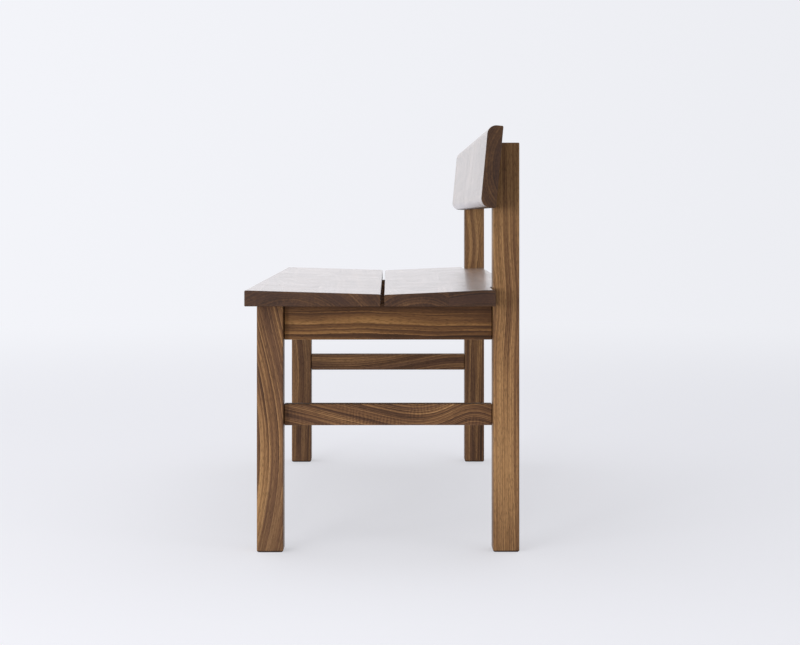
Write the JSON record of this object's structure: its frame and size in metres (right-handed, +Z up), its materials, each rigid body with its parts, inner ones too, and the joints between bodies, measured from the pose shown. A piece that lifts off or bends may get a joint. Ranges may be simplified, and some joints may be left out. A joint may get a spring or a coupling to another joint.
{
  "type": "dining bench with backrest",
  "caption": "Solid walnut dining bench with a two-board seat, an open slot along it, a low reclined backrest board and square legs joined by rails.",
  "frame": {"origin": "on the floor, under the middle of the bench's box", "axes": "+X to the right along the bench, +Y to the back, +Z up; the sitter faces -Y"},
  "size_m": [1.2, 0.432, 0.6759],
  "materials": {
    "walnut_frame": "oiled satin",
    "walnut_seat": "oiled satin",
    "walnut_backrest": "oiled satin",
    "zinc_plated_steel": "zinc plated"
  },
  "bodies": {
    "root": {"right_front_leg": "walnut_frame", "left_front_leg": "walnut_frame", "right_back_post": "walnut_frame", "left_back_post": "walnut_frame", "right_end_apron": "walnut_frame", "left_end_apron": "walnut_frame", "right_end_stretcher": "walnut_frame", "left_end_stretcher": "walnut_frame", "front_apron": "walnut_frame", "rear_apron": "walnut_frame", "left_cross_rail": "walnut_frame", "right_cross_rail": "walnut_frame", "front_right_corner_block": "walnut_frame", "rear_right_corner_block": "walnut_frame", "front_left_corner_block": "walnut_frame", "rear_left_corner_block": "walnut_frame", "seat_buttons": "walnut_frame", "backrest_screw_plugs": "walnut_frame", "front_seat_board": "walnut_seat", "rear_seat_board": "walnut_seat", "backrest_board": "walnut_backrest", "corner_block_screws": "zinc_plated_steel", "seat_button_screws": "zinc_plated_steel", "cross_rail_screws": "zinc_plated_steel", "backrest_screws": "zinc_plated_steel"}
  },
  "joints": []
}
